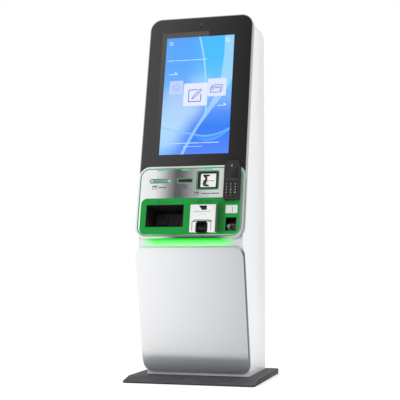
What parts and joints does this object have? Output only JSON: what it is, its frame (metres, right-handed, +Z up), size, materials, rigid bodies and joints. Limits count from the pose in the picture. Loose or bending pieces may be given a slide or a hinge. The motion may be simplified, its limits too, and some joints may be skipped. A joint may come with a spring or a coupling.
{
  "type": "self-service payment kiosk",
  "caption": "Free-standing payment kiosk with a leaning portrait touch screen, a console with note, coin, card and ticket modules, a change tray and a floor plate.",
  "frame": {"origin": "centre of the floor plate on its underside, at floor level", "axes": "+Z up, +Y towards the rear door, +X to the right of a person facing the rear from the front (towards the payment terminal)"},
  "size_m": [0.62, 0.6132, 1.742],
  "materials": {
    "powder_black": "fine textured powder coat",
    "powder_white": "smooth semi-gloss powder coat",
    "zinc_steel": "zinc-plated steel",
    "satin_rim": "satin anodised",
    "brushed_plate": "vertically brushed stainless steel",
    "silver_panel": "satin silver",
    "black_glass": "back-printed gloss glass",
    "display": "lit display",
    "terminal_glass": "dark terminal screen",
    "black_plastic": "fine textured moulding",
    "key_plastic": "moulded keys",
    "key_red": "moulded key",
    "key_green": "moulded key",
    "key_yellow": "moulded key",
    "fascia_green": "smooth satin paint",
    "green_light": "lit light guide",
    "white_plastic": "smooth moulding",
    "roller_rubber": "ground rubber",
    "thermal_paper": "thermal paper",
    "hopper_plastic": "moulded hopper",
    "device_case": "anodised case"
  },
  "bodies": {
    "cabinet": {"base_plate": "powder_black", "column_shell": "powder_white", "rear_frame": "powder_white", "front_wall": "powder_white", "shelves": "zinc_steel", "head_rim": "satin_rim", "front_glass": "black_glass", "lcd_panel": "display", "camera_module": "black_plastic", "console_rim": "satin_rim", "console_light": "green_light", "console_panel": "brushed_plate", "green_fascia": "fascia_green", "accent_lights": "green_light", "ticket_bezel": "satin_rim", "ticket_printer": "zinc_steel", "card_reader": "black_plastic", "scanner_frame": "black_plastic", "terminal_case": "black_plastic", "terminal_screen": "terminal_glass", "terminal_bracket": "zinc_steel", "change_tray": "black_plastic", "bill_bezel": "white_plastic", "bill_validator": "black_plastic", "coin_plate": "white_plastic", "return_pocket": "black_plastic", "coin_hopper": "hopper_plastic", "lower_panel": "silver_panel", "door_hinges": "zinc_steel", "computer": "device_case", "power_supply": "device_case", "cooling_fan": "black_plastic", "power_inlet": "black_plastic", "screws": "zinc_steel"},
    "rear_door": {"rear_door": "powder_white"},
    "rear_lock": {"rear_lock": "zinc_steel"},
    "cash_box": {"cash_box": "zinc_steel"},
    "tray_flap": {"tray_flap": "black_plastic"},
    "return_flap": {"return_flap": "zinc_steel"},
    "coin_flap": {"coin_flap": "white_plastic"},
    "bill_roller": {"bill_roller": "roller_rubber"},
    "platen_roller": {"platen_roller": "roller_rubber"},
    "paper_roll": {"paper_roll": "thermal_paper"},
    "hopper_disc": {"hopper_disc": "satin_rim"},
    "fan_rotor": {"fan_rotor": "black_plastic"},
    "key_1": {"key_1": "key_plastic"},
    "key_2": {"key_2": "key_plastic"},
    "key_3": {"key_3": "key_plastic"},
    "key_4": {"key_4": "key_plastic"},
    "key_5": {"key_5": "key_plastic"},
    "key_6": {"key_6": "key_plastic"},
    "key_7": {"key_7": "key_plastic"},
    "key_8": {"key_8": "key_plastic"},
    "key_9": {"key_9": "key_plastic"},
    "key_star": {"key_star": "key_plastic"},
    "key_0": {"key_0": "key_plastic"},
    "key_back": {"key_back": "key_plastic"},
    "key_cancel": {"key_cancel": "key_red"},
    "key_clear": {"key_clear": "key_yellow"},
    "key_enter": {"key_enter": "key_green"}
  },
  "joints": [
    {"name": "rear_door_hinge", "type": "hinge", "parent": "cabinet", "child": "rear_door", "pos_m": [0.217, 0.256, 0.86], "axis": [0, 0, -1], "range_deg": [0, 105]},
    {"name": "rear_lock_turn", "type": "hinge", "parent": "rear_door", "child": "rear_lock", "pos_m": [-0.188, 0.25, 0.86], "axis": [0, -1, 0], "range_deg": [0, 90]},
    {"name": "cash_box_slide", "type": "slide", "parent": "cabinet", "child": "cash_box", "axis": [0, 1, 0], "range_m": [0, 0.085]},
    {"name": "tray_flap_hinge", "type": "hinge", "parent": "cabinet", "child": "tray_flap", "pos_m": [-0.1177, -0.10773, 0.77682], "axis": [-1, 0, 0], "range_deg": [0, 35]},
    {"name": "return_flap_hinge", "type": "hinge", "parent": "cabinet", "child": "return_flap", "pos_m": [0.1984, -0.23738, 0.7227], "axis": [1, 0, 0], "range_deg": [0, 35]},
    {"name": "coin_flap_hinge", "type": "hinge", "parent": "cabinet", "child": "coin_flap", "pos_m": [0.203, -0.24233, 0.80447], "axis": [1, 0, 0], "range_deg": [0, 30], "stiffness_Nm_per_rad": 0.004, "springref_deg": -8.59},
    {"name": "bill_roller_turn", "type": "hinge", "parent": "cabinet", "child": "bill_roller", "pos_m": [0.0749, -0.29773, 0.70433], "axis": [1, 0, 0], "continuous": true},
    {"name": "paper_roll_turn", "type": "hinge", "parent": "cabinet", "child": "paper_roll", "pos_m": [-0.1484, -0.12595, 0.9082], "axis": [1, 0, 0], "continuous": true},
    {"name": "platen_turn", "type": "hinge", "parent": "cabinet", "child": "platen_roller", "pos_m": [-0.1484, -0.18361, 0.93931], "axis": [1, 0, 0], "continuous": true},
    {"name": "hopper_disc_turn", "type": "hinge", "parent": "cabinet", "child": "hopper_disc", "pos_m": [-0.118, 0.005, 0.7205], "axis": [0, 0, 1], "continuous": true},
    {"name": "fan_spin", "type": "hinge", "parent": "cabinet", "child": "fan_rotor", "pos_m": [0, 0.2343, 1.65], "axis": [0, 1, 0], "continuous": true},
    {"name": "key_1_press", "type": "slide", "parent": "cabinet", "child": "key_1", "axis": [0, 0.9767, -0.2147], "range_m": [0, 0.001], "stiffness_N_per_m": 400, "springref_m": -0.0005},
    {"name": "key_2_press", "type": "slide", "parent": "cabinet", "child": "key_2", "axis": [0, 0.9767, -0.2147], "range_m": [0, 0.001], "stiffness_N_per_m": 400, "springref_m": -0.0005},
    {"name": "key_3_press", "type": "slide", "parent": "cabinet", "child": "key_3", "axis": [0, 0.9767, -0.2147], "range_m": [0, 0.001], "stiffness_N_per_m": 400, "springref_m": -0.0005},
    {"name": "key_4_press", "type": "slide", "parent": "cabinet", "child": "key_4", "axis": [0, 0.9767, -0.2147], "range_m": [0, 0.001], "stiffness_N_per_m": 400, "springref_m": -0.0005},
    {"name": "key_5_press", "type": "slide", "parent": "cabinet", "child": "key_5", "axis": [0, 0.9767, -0.2147], "range_m": [0, 0.001], "stiffness_N_per_m": 400, "springref_m": -0.0005},
    {"name": "key_6_press", "type": "slide", "parent": "cabinet", "child": "key_6", "axis": [0, 0.9767, -0.2147], "range_m": [0, 0.001], "stiffness_N_per_m": 400, "springref_m": -0.0005},
    {"name": "key_7_press", "type": "slide", "parent": "cabinet", "child": "key_7", "axis": [0, 0.9767, -0.2147], "range_m": [0, 0.001], "stiffness_N_per_m": 400, "springref_m": -0.0005},
    {"name": "key_8_press", "type": "slide", "parent": "cabinet", "child": "key_8", "axis": [0, 0.9767, -0.2147], "range_m": [0, 0.001], "stiffness_N_per_m": 400, "springref_m": -0.0005},
    {"name": "key_9_press", "type": "slide", "parent": "cabinet", "child": "key_9", "axis": [0, 0.9767, -0.2147], "range_m": [0, 0.001], "stiffness_N_per_m": 400, "springref_m": -0.0005},
    {"name": "key_star_press", "type": "slide", "parent": "cabinet", "child": "key_star", "axis": [0, 0.9767, -0.2147], "range_m": [0, 0.001], "stiffness_N_per_m": 400, "springref_m": -0.0005},
    {"name": "key_0_press", "type": "slide", "parent": "cabinet", "child": "key_0", "axis": [0, 0.9767, -0.2147], "range_m": [0, 0.001], "stiffness_N_per_m": 400, "springref_m": -0.0005},
    {"name": "key_back_press", "type": "slide", "parent": "cabinet", "child": "key_back", "axis": [0, 0.9767, -0.2147], "range_m": [0, 0.001], "stiffness_N_per_m": 400, "springref_m": -0.0005},
    {"name": "key_cancel_press", "type": "slide", "parent": "cabinet", "child": "key_cancel", "axis": [0, 0.9767, -0.2147], "range_m": [0, 0.001], "stiffness_N_per_m": 400, "springref_m": -0.0005},
    {"name": "key_clear_press", "type": "slide", "parent": "cabinet", "child": "key_clear", "axis": [0, 0.9767, -0.2147], "range_m": [0, 0.001], "stiffness_N_per_m": 400, "springref_m": -0.0005},
    {"name": "key_enter_press", "type": "slide", "parent": "cabinet", "child": "key_enter", "axis": [0, 0.9767, -0.2147], "range_m": [0, 0.001], "stiffness_N_per_m": 400, "springref_m": -0.0005}
  ],
  "couplings": [
    {"joint": "platen_turn", "follows": "paper_roll_turn", "ratio": 4.5}
  ]
}
